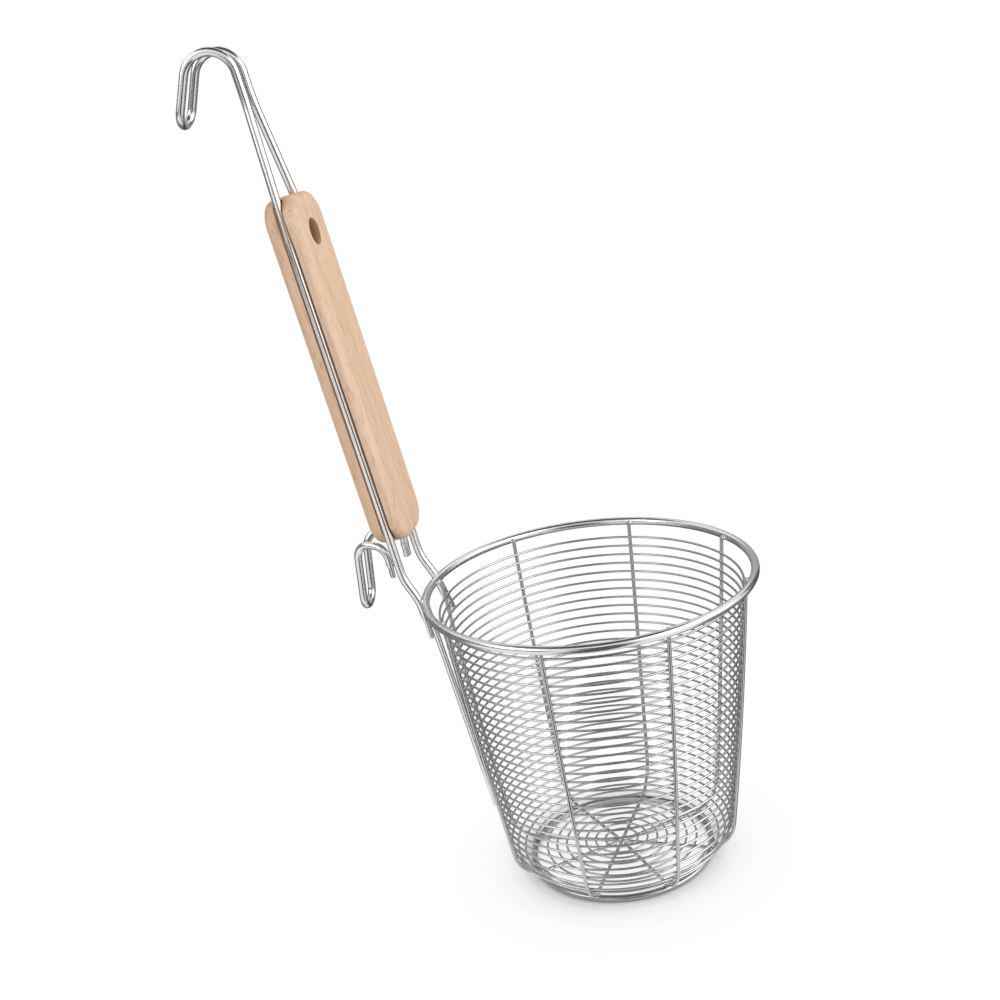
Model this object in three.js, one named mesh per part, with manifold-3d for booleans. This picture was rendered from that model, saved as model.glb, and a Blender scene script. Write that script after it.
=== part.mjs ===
// Noodle strainer: a deep welded-wire basket on a foot ring, held by one bent wire frame
// that carries a flat wooden grip, a hanging hook above it and a pot hook below it.
// Millimetres, +Z up. The basket axis is vertical, the grip stands on the -X side,
// and the foot ring rests on Z = 0.

import * as THREE from 'three';
import { mergeVertices } from 'three/addons/utils/BufferGeometryUtils.js';
import Module from 'manifold-3d';

// Wire gauges
const RIM_WIRE = 3.6;
const FRAME_WIRE = 3.6;
const FOOT_WIRE = 3.0;
const POT_HOOK_WIRE = 3.4;
const STAY_WIRE = 2.6;
const RIB_WIRE = 1.6;
const RING_WIRE = 1.0;
// Clearance left at every weld and in the grip's grooves
const WELD_GAP = 0.3;

// Basket
const RIM_DIAMETER = 140;
const RIM_HEIGHT = 132.8;
const FOOT_DIAMETER = 80.4;
const HEEL_DIAMETER = 107.4;
const HEEL_HEIGHT = 25.5;
const HEEL_BEND = 15;
const WALL_BELLY = 0.2;
// The straight rib that crosses the floor, and the hand-welded places of the others round it
const THROUGH_RIB_ANGLE = 81;
const SINGLE_RIB_ANGLES = [35.5, 129, 174, 215.5, 304.5, 351];
const RIB_TIP_ABOVE_RIM = 0.6;
const TOP_RING_BELOW_RIM = 6.3;
const WALL_RING_PITCH = 4.16;
const FLOOR_RING_FIRST_RADIUS = 7.4;
const FLOOR_RING_PITCH = 4.4;
// The stay beside the grip, from under the rim to the foot of the wall
const STAY_ANGLE = 187;
const STAY_TOP_PAST_RIM = 1;
const STAY_MEETS_WALL = 45;
const STAY_LOW_END = 28;

// Wooden grip
const GRIP_LENGTH = 149.3;
const GRIP_WIDTH = 33;
const GRIP_THICKNESS = 14.2;
const GRIP_FORWARD = 0.4;
const GRIP_CORNER = 11;
const GRIP_EDGE = 3;
const GRIP_LEAN = 9;
const GRIP_SETBACK = 9.4;
const GRIP_RISE = 25.7;
const HANG_HOLE_DIAMETER = 11;
const HANG_HOLE_FROM_TOP = 16.5;

// Frame wire: two rods in the grip's grooves, welded to the rim, joined by the hanging hook
const ROD_SUNK = 0.2;
const ROD_END_BELOW_RIM = 17;
const ROD_WALL_CLEARANCE = 0.3;
const ROD_OUTSIDE_RIM = 2.4;
const ROD_LOW_BEND_ABOVE_RIM = 0;
const ROD_HIGH_BEND_BELOW_GRIP = 15.5;
const ROD_BEND = 24;
const STRANDS_CONVERGE_BELOW_TOP = 22;
const STRANDS_PARALLEL_ABOVE_TOP = 39;
const STRAND_BEND = 60;
const HANGER_NECK_HALF_WIDTH = 4;
const HANGER_NECK_BACK = 1.6;
const HANGER_PEAK_HALF_WIDTH = 4.6;
const HANGER_TIP_HALF_WIDTH = 6;
const HANGER_ARCH_ABOVE_TOP = 50.2;
const HANGER_ARCH_RADIUS = 10.8;
const HANGER_TURN = 153;
const HANGER_TAIL = 19.6;

// Pot hook: a bent wire welded behind the two rods just under the grip
const POT_HOOK_INSET = 2;
const POT_HOOK_LEG = 14.2;
const POT_HOOK_LEG_FLARE = 1.2;
const POT_HOOK_ARCH_RISE = 0.9;
const POT_HOOK_ARCH_TILT = 1.2;
const POT_HOOK_ARCH_RADIUS = 6.8;
const POT_HOOK_REACH = 14.6;
const POT_HOOK_SPREAD = 6.3;
const POT_HOOK_DROP = 27.8;
const POT_HOOK_SHOULDER_HALF_WIDTH = 6.9;
const POT_HOOK_TIP_HALF_WIDTH = 6.3;

const rad = THREE.MathUtils.degToRad;
const v3 = (x, y, z) => new THREE.Vector3(x, y, z);

const wasm = await Module();
wasm.setup();

const steel = new THREE.MeshStandardMaterial({ color: 0xc6cacd, roughness: 0.22, metalness: 1 });
const wood = new THREE.MeshStandardMaterial({ color: 0xe1c0a0, roughness: 0.6, metalness: 0 });

const strainer = new THREE.Group();

function addPiece(parent, name, geometry, material) {
  const mesh = new THREE.Mesh(geometry, material);
  mesh.name = name;
  parent.add(mesh);
  return mesh;
}

// A closed geometry as a solid that can be cut, and back again
function toSolid(geometry) {
  const bare = geometry.clone();
  bare.deleteAttribute('normal');
  bare.deleteAttribute('uv');
  const merged = mergeVertices(bare, 1e-4);
  const mesh = new wasm.Mesh({
    numProp: 3,
    vertProperties: new Float32Array(merged.attributes.position.array),
    triVerts: new Uint32Array(merged.index.array),
  });
  return new wasm.Manifold(mesh);
}

function toGeometry(solid) {
  const mesh = solid.getMesh();
  const geometry = new THREE.BufferGeometry();
  geometry.setAttribute('position', new THREE.BufferAttribute(mesh.vertProperties, 3));
  geometry.setIndex(new THREE.BufferAttribute(mesh.triVerts, 1));
  geometry.computeVertexNormals();
  return geometry;
}

// The corners of a bent wire, each given as { at, bend }, as a run of points with every
// corner replaced by an arc of its bend radius, in steps of at most stepDegrees
function bentPoints(corners, stepDegrees) {
  const points = [corners[0].at.clone()];
  for (let i = 1; i < corners.length - 1; i += 1) {
    const { at, bend } = corners[i];
    if (bend === 0) {
      points.push(at.clone());
      continue;
    }
    const toward = at.clone().sub(corners[i - 1].at).normalize();
    const away = corners[i + 1].at.clone().sub(at).normalize();
    const turn = toward.angleTo(away);
    const reach = bend * Math.tan(turn / 2);
    const start = at.clone().addScaledVector(toward, -reach);
    const side = away.clone().addScaledVector(toward, -away.dot(toward)).normalize();
    const centre = start.clone().addScaledVector(side, bend);
    const steps = Math.max(1, Math.ceil(THREE.MathUtils.radToDeg(turn) / stepDegrees));
    for (let k = 0; k <= steps; k += 1) {
      const angle = turn * k / steps;
      const point = centre.clone();
      point.addScaledVector(side, -bend * Math.cos(angle));
      point.addScaledVector(toward, bend * Math.sin(angle));
      points.push(point);
    }
  }
  points.push(corners[corners.length - 1].at.clone());
  return points;
}

// A path that passes through its points, one step of the sweep for each
class WirePath extends THREE.Curve {
  constructor(points) {
    super();
    this.points = points;
  }

  getPoint(t, target = new THREE.Vector3()) {
    const place = t * (this.points.length - 1);
    const index = Math.min(Math.floor(place + 1e-6), this.points.length - 2);
    return target.lerpVectors(this.points[index], this.points[index + 1], place - index);
  }

  getPointAt(t, target) {
    return this.getPoint(t, target);
  }

  getTangentAt(t, target = new THREE.Vector3()) {
    const last = this.points.length - 1;
    const index = Math.round(t * last);
    const before = this.points[Math.max(index - 1, 0)];
    const here = this.points[index];
    const after = this.points[Math.min(index + 1, last)];
    const inward = here.clone().sub(before).normalize();
    const outward = after.clone().sub(here).normalize();
    return target.copy(inward).add(outward).normalize();
  }
}

// A round wire swept along points, closed at both ends
function wireGeometry(points, diameter, sides) {
  const outline = [];
  for (let k = 0; k < sides; k += 1) {
    const angle = 2 * Math.PI * k / sides;
    outline.push(new THREE.Vector2(Math.cos(angle), Math.sin(angle)).multiplyScalar(diameter / 2));
  }
  return new THREE.ExtrudeGeometry(new THREE.Shape(outline), {
    steps: points.length - 1,
    extrudePath: new WirePath(points),
  });
}

// The wire's two mirrored halves, across Y = 0
function mirrored(corners) {
  const copies = corners.map(({ at, bend }) => ({ at: v3(at.x, -at.y, at.z), bend }));
  return corners.concat(copies.reverse());
}

// Rim ring
const rimRadius = RIM_DIAMETER / 2;
const rim = addPiece(strainer, 'rim_ring', new THREE.TorusGeometry(rimRadius, RIM_WIRE / 2, 8, 64), steel);
rim.position.z = RIM_HEIGHT;
rim.rotation.z = rad(THROUGH_RIB_ANGLE);

// Foot ring, with a flat worn underside that the strainer stands on
const footProfile = [];
for (let k = 0; k <= 8; k += 1) {
  const angle = rad(22.5 + 45 * k);
  const reach = FOOT_WIRE / 2 / Math.cos(rad(22.5));
  footProfile.push(new THREE.Vector2(FOOT_DIAMETER / 2 + reach * Math.cos(angle), reach * Math.sin(angle)));
}
const foot = addPiece(strainer, 'foot_ring', new THREE.LatheGeometry(footProfile, 48), steel);
foot.rotation.x = Math.PI / 2;
foot.position.z = FOOT_WIRE / 2;

// Ribs: each runs from the middle of the floor along the bottom, bends up at the heel and
// follows the belly of the wall to the inside of the rim
const heelRadius = HEEL_DIAMETER / 2;
const ribTopRadius = rimRadius - RIM_WIRE / 2 - WELD_GAP - RIB_WIRE / 2;
const wallHeight = RIM_HEIGHT - HEEL_HEIGHT;

function ribRadius(z) {
  const t = (z - HEEL_HEIGHT) / wallHeight;
  return heelRadius + (ribTopRadius - heelRadius) * (t + WALL_BELLY * t * (1 - t));
}

function ribSlope(z) {
  const t = (z - HEEL_HEIGHT) / wallHeight;
  return (ribTopRadius - heelRadius) * (1 + WALL_BELLY * (1 - 2 * t)) / wallHeight;
}

// The floor sits as low as the foot ring allows where the heel's bend starts to lift it
const restHeight = FOOT_WIRE + WELD_GAP + RIB_WIRE / 2;
const heelSlope = ribSlope(HEEL_HEIGHT);
const heelCorner = heelRadius - heelSlope * (HEEL_HEIGHT - restHeight);
const heelReach = HEEL_BEND * Math.tan((Math.PI / 2 - Math.atan(heelSlope)) / 2);
const flatRadius = heelCorner - heelReach;
const footInside = FOOT_DIAMETER / 2 - FOOT_WIRE / 2 * Math.tan(rad(22.5));
const footPastFlat = Math.max(0, footInside - flatRadius);
const heelLift = HEEL_BEND - Math.sqrt(HEEL_BEND * HEEL_BEND - footPastFlat * footPastFlat);
const spokeHeight = restHeight - heelLift;
const WALL_SPANS = 7;

function ribCorners(startRadius) {
  const corners = [
    { at: v3(startRadius, 0, spokeHeight), bend: 0 },
    { at: v3(heelCorner, 0, spokeHeight), bend: HEEL_BEND },
  ];
  for (let k = 0; k <= WALL_SPANS; k += 1) {
    const z = THREE.MathUtils.lerp(HEEL_HEIGHT, RIM_HEIGHT + RIB_TIP_ABOVE_RIM, k / WALL_SPANS);
    corners.push({ at: v3(ribRadius(Math.min(z, RIM_HEIGHT)), 0, z), bend: 0 });
  }
  return corners;
}

// One rib passes through the middle as a whole wire and the others stop round it there,
// those square to it close beside it
const RIB_STEP = 10;
const through = ribCorners(0).slice(1);
const throughBack = through.map(({ at, bend }) => ({ at: v3(-at.x, 0, at.z), bend })).reverse();
const throughWire = wireGeometry(bentPoints(throughBack.concat(through), RIB_STEP), RIB_WIRE, 6);
addPiece(strainer, 'rib_through', throughWire, steel).rotation.z = rad(THROUGH_RIB_ANGLE);
const allRibAngles = [THROUGH_RIB_ANGLE, THROUGH_RIB_ANGLE + 180, ...SINGLE_RIB_ANGLES];
allRibAngles.sort((a, b) => a - b);
let leastStep = 360 + allRibAngles[0] - allRibAngles[allRibAngles.length - 1];
for (let k = 1; k < allRibAngles.length; k += 1) {
  leastStep = Math.min(leastStep, allRibAngles[k] - allRibAngles[k - 1]);
}
const crossRadius = (RIB_WIRE + WELD_GAP) / 2 / Math.tan(rad(leastStep / 2));
SINGLE_RIB_ANGLES.forEach((angle, k) => {
  const square = Math.abs(Math.cos(rad(angle - THROUGH_RIB_ANGLE))) < 0.1;
  const start = square ? RIB_WIRE / 2 + WELD_GAP : crossRadius + WELD_GAP;
  const geometry = wireGeometry(bentPoints(ribCorners(start), RIB_STEP), RIB_WIRE, 6);
  addPiece(strainer, `rib_${k + 1}`, geometry, steel).rotation.z = rad(angle);
});

// A place on the rib's centreline, by the length of wire down from its tip
const ribLine = bentPoints(ribCorners(0), 2);

function ribPlace(distance) {
  let left = distance;
  for (let i = ribLine.length - 1; i > 0; i -= 1) {
    const span = ribLine[i].distanceTo(ribLine[i - 1]);
    if (left <= span) {
      const along = ribLine[i].clone().sub(ribLine[i - 1]).normalize();
      const at = ribLine[i].clone().addScaledVector(along, -left);
      return { at, inward: v3(-along.z, 0, along.x) };
    }
    left -= span;
  }
  return { at: ribLine[0].clone(), inward: v3(0, 0, 1) };
}

// Floor rings: closed hoops welded on top of the flat stretch of the spokes
const ringInset = RIB_WIRE / 2 + WELD_GAP + RING_WIRE / 2;
const floorRingCount = 1 + Math.floor((flatRadius - FLOOR_RING_FIRST_RADIUS) / FLOOR_RING_PITCH);
for (let k = 0; k < floorRingCount; k += 1) {
  const radius = FLOOR_RING_FIRST_RADIUS + k * FLOOR_RING_PITCH;
  const geometry = new THREE.TorusGeometry(radius, RING_WIRE / 2, 4, 24);
  const ring = addPiece(strainer, `floor_ring_${k + 1}`, geometry, steel);
  ring.position.z = spokeHeight + ringInset;
  ring.rotation.z = rad(THROUGH_RIB_ANGLE);
}

// Wall rings: closed hoops welded inside the ribs, evenly spaced from under the rim down
// the wall and round the heel to the outermost floor ring
const lastFloorRadius = FLOOR_RING_FIRST_RADIUS + (floorRingCount - 1) * FLOOR_RING_PITCH;
const ribLength = ribLine.reduce((sum, point, i) => sum + (i ? point.distanceTo(ribLine[i - 1]) : 0), 0);
const topRingDistance = (TOP_RING_BELOW_RIM + RIB_TIP_ABOVE_RIM) * Math.hypot(1, ribSlope(RIM_HEIGHT));
const wallRun = ribLength - lastFloorRadius - topRingDistance - 0.75 * FLOOR_RING_PITCH;
const wallRingCount = 1 + Math.floor(wallRun / WALL_RING_PITCH);
for (let k = 0; k < wallRingCount; k += 1) {
  const { at, inward } = ribPlace(topRingDistance + k * WALL_RING_PITCH);
  const centre = at.addScaledVector(inward, ringInset);
  const name = `wall_ring_${String(k + 1).padStart(2, '0')}`;
  const ring = addPiece(strainer, name, new THREE.TorusGeometry(centre.x, RING_WIRE / 2, 4, 32), steel);
  ring.position.z = centre.z;
  ring.rotation.z = rad(THROUGH_RIB_ANGLE);
}

// Stay: a stout wire outside the rings, which lies on them low down and leaves the wall
// higher up to end under the rim
const stayRadius = (z) => ribRadius(z) - RIB_WIRE / 2 + STAY_WIRE / 2;
const STAY_SPANS = 3;
const stayCorners = [];
for (let k = 0; k <= STAY_SPANS; k += 1) {
  const z = THREE.MathUtils.lerp(STAY_LOW_END, STAY_MEETS_WALL, k / STAY_SPANS);
  stayCorners.push({ at: v3(stayRadius(z), 0, z), bend: 0 });
}
const stayTop = v3(rimRadius + STAY_TOP_PAST_RIM, 0, RIM_HEIGHT - RIM_WIRE / 2 - 2 * WELD_GAP);
stayCorners.push({ at: stayTop, bend: 0 });
const stay = addPiece(strainer, 'side_stay', wireGeometry(bentPoints(stayCorners, 10), STAY_WIRE, 8), steel);
stay.rotation.z = rad(STAY_ANGLE);

// The grip's own frame: +Z up its length from its lower end, +X toward the basket
const grip = new THREE.Group();
grip.position.set(-(rimRadius + GRIP_SETBACK), 0, RIM_HEIGHT + GRIP_RISE);
grip.rotation.y = -rad(GRIP_LEAN);
grip.updateMatrix();
strainer.add(grip);
const intoGrip = grip.matrix.clone().invert();

// Frame wire, from one rod's end up its groove, over the hanging hook and down the other rod
const rodHalf = GRIP_WIDTH / 2 - FRAME_WIRE / 2 - ROD_SUNK;
const rodAt = (radius, z) => v3(-Math.sqrt(radius * radius - rodHalf * rodHalf), -rodHalf, z);
const rodEndHeight = RIM_HEIGHT - ROD_END_BELOW_RIM;
const rodEndRadius = ribRadius(rodEndHeight) + RIB_WIRE / 2 + FRAME_WIRE / 2 + ROD_WALL_CLEARANCE;
const rodEnd = rodAt(rodEndRadius, rodEndHeight).applyMatrix4(intoGrip);
const rodLowBend = rodAt(rimRadius + ROD_OUTSIDE_RIM, RIM_HEIGHT + ROD_LOW_BEND_ABOVE_RIM).applyMatrix4(intoGrip);
const hangerReach = HANGER_ARCH_RADIUS * Math.tan(rad(HANGER_TURN / 2));
const hangerPeak = GRIP_LENGTH + HANGER_ARCH_ABOVE_TOP + hangerReach;
const tailLength = hangerReach + HANGER_TAIL;
const tailX = -HANGER_NECK_BACK - tailLength * Math.sin(rad(HANGER_TURN));
const tailZ = hangerPeak + tailLength * Math.cos(rad(HANGER_TURN));
const grooveCorners = [
  { at: v3(0, -rodHalf, -ROD_HIGH_BEND_BELOW_GRIP), bend: ROD_BEND },
  { at: v3(0, -rodHalf, GRIP_LENGTH - STRANDS_CONVERGE_BELOW_TOP), bend: STRAND_BEND },
  {
    at: v3(-HANGER_NECK_BACK, -HANGER_NECK_HALF_WIDTH, GRIP_LENGTH + STRANDS_PARALLEL_ABOVE_TOP),
    bend: STRAND_BEND,
  },
];
const frameHalf = [
  { at: rodEnd, bend: 0 },
  { at: rodLowBend, bend: ROD_BEND },
  ...grooveCorners,
  { at: v3(-HANGER_NECK_BACK, -HANGER_PEAK_HALF_WIDTH, hangerPeak), bend: HANGER_ARCH_RADIUS },
  { at: v3(tailX, -HANGER_TIP_HALF_WIDTH, tailZ), bend: 0.98 * HANGER_TIP_HALF_WIDTH },
];
const framePoints = bentPoints(mirrored(frameHalf), 12);
const rimClearance = new THREE.TorusGeometry(rimRadius, RIM_WIRE / 2 + WELD_GAP, 16, 128);
rimClearance.translate(0, 0, RIM_HEIGHT);
rimClearance.applyMatrix4(intoGrip);
const frameSolid = toSolid(wireGeometry(framePoints, FRAME_WIRE, 10)).subtract(toSolid(rimClearance));
addPiece(grip, 'frame_wire', toGeometry(frameSolid), steel);

// Grip: a flat board with round corners and edges, a hanging hole through its broad faces
// and an open groove for each rod along its narrow sides
const board = new THREE.Shape();
const boardHalf = GRIP_WIDTH / 2 - GRIP_EDGE;
const boardCorner = GRIP_CORNER - GRIP_EDGE;
const boardLow = GRIP_EDGE;
const boardHigh = GRIP_LENGTH - GRIP_EDGE;
board.moveTo(-boardHalf + boardCorner, boardLow);
board.lineTo(boardHalf - boardCorner, boardLow);
board.absarc(boardHalf - boardCorner, boardLow + boardCorner, boardCorner, -Math.PI / 2, 0);
board.lineTo(boardHalf, boardHigh - boardCorner);
board.absarc(boardHalf - boardCorner, boardHigh - boardCorner, boardCorner, 0, Math.PI / 2);
board.lineTo(-boardHalf + boardCorner, boardHigh);
board.absarc(-boardHalf + boardCorner, boardHigh - boardCorner, boardCorner, Math.PI / 2, Math.PI);
board.lineTo(-boardHalf, boardLow + boardCorner);
board.absarc(-boardHalf + boardCorner, boardLow + boardCorner, boardCorner, Math.PI, 1.5 * Math.PI);
const intoBoard = new THREE.Matrix4().makeBasis(v3(0, 1, 0), v3(0, 0, 1), v3(1, 0, 0));
const boardGeometry = new THREE.ExtrudeGeometry(board, {
  depth: GRIP_THICKNESS - 2 * GRIP_EDGE,
  bevelThickness: GRIP_EDGE,
  bevelSize: GRIP_EDGE,
  bevelSegments: 3,
  curveSegments: 4,
});
boardGeometry.translate(0, 0, GRIP_FORWARD - (GRIP_THICKNESS - 2 * GRIP_EDGE) / 2);
boardGeometry.applyMatrix4(intoBoard);

const holeRadius = HANG_HOLE_DIAMETER / 2;
const hole = new THREE.CylinderGeometry(holeRadius, holeRadius, GRIP_THICKNESS + 4, 24);
hole.rotateZ(Math.PI / 2);
hole.translate(GRIP_FORWARD, 0, GRIP_LENGTH - HANG_HOLE_FROM_TOP);

let gripSolid = toSolid(boardGeometry).subtract(toSolid(hole));
const grooveWidth = FRAME_WIRE + 2 * WELD_GAP;
const grooveLine = bentPoints(grooveCorners, 6);
for (const side of [-1, 1]) {
  const line = grooveLine.map((point) => v3(point.x, -side * point.y, point.z));
  const slot = new THREE.Shape();
  slot.moveTo(side * GRIP_WIDTH, line[0].z);
  for (const point of line) {
    slot.lineTo(point.y, point.z);
  }
  slot.lineTo(side * GRIP_WIDTH, line[line.length - 1].z);
  const slotGeometry = new THREE.ExtrudeGeometry(slot, { depth: grooveWidth, bevelEnabled: false });
  slotGeometry.translate(0, 0, -grooveWidth / 2);
  slotGeometry.applyMatrix4(intoBoard);
  gripSolid = gripSolid.subtract(toSolid(slotGeometry));
  gripSolid = gripSolid.subtract(toSolid(wireGeometry(line, grooveWidth, 12)));
}
addPiece(grip, 'wood_grip', toGeometry(gripSolid), wood);

// Pot hook: its legs lie behind the rods, its arch runs out over the pot's edge and down
const legSpacing = (FRAME_WIRE + POT_HOOK_WIRE) / 2 + WELD_GAP;
const legX = -Math.sqrt(legSpacing * legSpacing - POT_HOOK_INSET * POT_HOOK_INSET);
const legY = -(rodHalf - POT_HOOK_INSET);
const shoulderX = legX - POT_HOOK_REACH;
const potHookHalf = [
  { at: v3(legX - POT_HOOK_LEG_FLARE, legY, -POT_HOOK_LEG), bend: 0 },
  { at: v3(legX, legY, POT_HOOK_ARCH_RISE - POT_HOOK_ARCH_TILT), bend: POT_HOOK_ARCH_RADIUS },
  {
    at: v3(shoulderX, -POT_HOOK_SHOULDER_HALF_WIDTH, POT_HOOK_ARCH_RISE + POT_HOOK_ARCH_TILT),
    bend: POT_HOOK_ARCH_RADIUS,
  },
  {
    at: v3(shoulderX - POT_HOOK_SPREAD, -POT_HOOK_TIP_HALF_WIDTH, -POT_HOOK_DROP),
    bend: 0.98 * POT_HOOK_TIP_HALF_WIDTH,
  },
];
const potHookPoints = bentPoints(mirrored(potHookHalf), 18);
addPiece(grip, 'pot_hook', wireGeometry(potHookPoints, POT_HOOK_WIRE, 8), steel);

// Origin at the middle of the whole object's base
strainer.updateMatrixWorld(true);
const box = new THREE.Box3().setFromObject(strainer, true);
strainer.position.x = -(box.min.x + box.max.x) / 2;

export default strainer;
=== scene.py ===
# A noodle strainer: a deep basket of bright stainless wire on a foot ring, carried by one bent
# wire frame with a board of light hardwood for a grip, a hanging hook above the grip and a hook
# for the pot's edge below it. Metres, +Z up, the grip on the -X side of the basket.
import math

import bpy
from mathutils import Matrix, Vector


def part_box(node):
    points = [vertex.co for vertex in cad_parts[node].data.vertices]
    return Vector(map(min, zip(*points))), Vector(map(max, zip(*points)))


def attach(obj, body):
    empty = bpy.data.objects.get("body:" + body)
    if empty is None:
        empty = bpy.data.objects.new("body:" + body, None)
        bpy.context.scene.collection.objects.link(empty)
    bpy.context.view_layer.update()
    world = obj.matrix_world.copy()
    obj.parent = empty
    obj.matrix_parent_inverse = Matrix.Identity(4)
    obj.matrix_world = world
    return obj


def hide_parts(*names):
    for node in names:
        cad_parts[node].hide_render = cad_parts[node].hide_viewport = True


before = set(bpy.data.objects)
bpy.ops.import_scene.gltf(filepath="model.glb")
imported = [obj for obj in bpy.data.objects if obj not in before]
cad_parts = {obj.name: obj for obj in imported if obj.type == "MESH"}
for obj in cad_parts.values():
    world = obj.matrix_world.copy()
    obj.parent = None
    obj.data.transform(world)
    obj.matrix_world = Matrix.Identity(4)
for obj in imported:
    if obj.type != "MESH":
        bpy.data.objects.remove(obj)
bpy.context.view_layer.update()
scene = bpy.context.scene

# Ribs: one stainless wire bent to a U that crosses the middle of the floor, and six more that
# stop beside it. Each lies flat under the floor, turns up round the heel and follows the belly of
# the wall to the inside of the rim. Sizes of wire work are in millimetres.
MM = 0.001
RIB_WIRE = 1.6
RIM_WIRE = 3.6
FOOT_WIRE = 3.0
WELD_GAP = 0.3
RIM_DIAMETER = 140.0
RIM_HEIGHT = 132.8
FOOT_DIAMETER = 80.4
HEEL_DIAMETER = 107.4
HEEL_HEIGHT = 25.5
HEEL_BEND = 15.0
WALL_BELLY = 0.2
RIB_TIP_ABOVE_RIM = 0.6
THROUGH_RIB_ANGLE = 81.0
SINGLE_RIB_ANGLES = (35.5, 129.0, 174.0, 215.5, 304.5, 351.0)
SQUARE_RIBS_START = 1.1
OTHER_RIBS_START = 2.8
RIB_SIDES = 14
RIB_POINT_STEP = 3.0
RIB_WALL_SPANS = 30
SQUARE_WITHIN = 0.1

rim_low, rim_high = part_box("rim_ring")
basket_axis = Vector(((rim_low.x + rim_high.x) / 2, (rim_low.y + rim_high.y) / 2, 0.0))
heel_radius = HEEL_DIAMETER / 2
rib_top_radius = RIM_DIAMETER / 2 - RIM_WIRE / 2 - WELD_GAP - RIB_WIRE / 2


def rib_radius(height):
    share = (height - HEEL_HEIGHT) / (RIM_HEIGHT - HEEL_HEIGHT)
    return heel_radius + (rib_top_radius - heel_radius) * (share + WALL_BELLY * share * (1 - share))


rest_height = FOOT_WIRE + WELD_GAP + RIB_WIRE / 2
heel_slope = (rib_top_radius - heel_radius) * (1 + WALL_BELLY) / (RIM_HEIGHT - HEEL_HEIGHT)
heel_corner = heel_radius - heel_slope * (HEEL_HEIGHT - rest_height)
flat_radius = heel_corner - HEEL_BEND * math.tan((math.pi / 2 - math.atan(heel_slope)) / 2)
foot_past_flat = FOOT_DIAMETER / 2 - FOOT_WIRE / 2 * math.tan(math.pi / 8) - flat_radius
spoke_height = rest_height - HEEL_BEND + math.sqrt(HEEL_BEND**2 - foot_past_flat**2)


def bent_run(corners, step_degrees=3.0):
    """The points of a wire bent round its corners, each given as (place, bend radius)."""
    points = [corners[0][0].copy()]
    for before, (place, bend), after in zip(corners, corners[1:], corners[2:]):
        if bend == 0:
            points.append(place.copy())
            continue
        toward = (place - before[0]).normalized()
        away = (after[0] - place).normalized()
        turn = toward.angle(away)
        start = place - toward * bend * math.tan(turn / 2)
        side = (away - toward * away.dot(toward)).normalized()
        steps = max(2, math.ceil(math.degrees(turn) / step_degrees))
        for k in range(steps + 1):
            angle = turn * k / steps
            points.append(start + side * bend * (1 - math.cos(angle)) + toward * bend * math.sin(angle))
    points.append(corners[-1][0].copy())
    return points


def evenly(points, longest):
    """The same run with no two points further apart than longest."""
    run = [points[0]]
    for near, far in zip(points, points[1:]):
        pieces = max(1, math.ceil((far - near).length / longest))
        run += [near.lerp(far, k / pieces) for k in range(1, pieces + 1)]
    return run


def cropped(points, wire):
    """A run with its two cut ends eased over, as (place, share of the wire's thickness)."""
    easing = ((0.0, 0.70), (0.05, 0.86), (0.12, 0.95), (0.22, 1.0))
    near = (points[1] - points[0]).normalized()
    far = (points[-2] - points[-1]).normalized()
    run = [(points[0] + near * wire * back, share) for back, share in easing]
    run += [(p, 1.0) for p in points[1:-1]]
    run += [(points[-1] + far * wire * back, share) for back, share in reversed(easing)]
    return run


def geometry_tree(name, sizes):
    """An empty Geometry Nodes tree with named inputs for its sizes."""
    tree = bpy.data.node_groups.new(name, "GeometryNodeTree")
    tree.interface.new_socket("Geometry", in_out="INPUT", socket_type="NodeSocketGeometry")
    for label, kind in sizes:
        tree.interface.new_socket(label, in_out="INPUT", socket_type=kind)
    tree.interface.new_socket("Geometry", in_out="OUTPUT", socket_type="NodeSocketGeometry")
    return tree


def node(tree, kind, links=None, **settings):
    """One node of a tree with its settings, and its inputs linked or set by name."""
    made = tree.nodes.new(kind)
    for key, value in settings.items():
        setattr(made, key, value)
    for key, value in (links or {}).items():
        socket = made.inputs[key]
        if isinstance(value, bpy.types.NodeSocket):
            tree.links.new(value, socket)
        else:
            socket.default_value = value
    return made


def result(tree, kind, links=None, **settings):
    """The first output of a new node."""
    return node(tree, kind, links, **settings).outputs[0]


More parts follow.
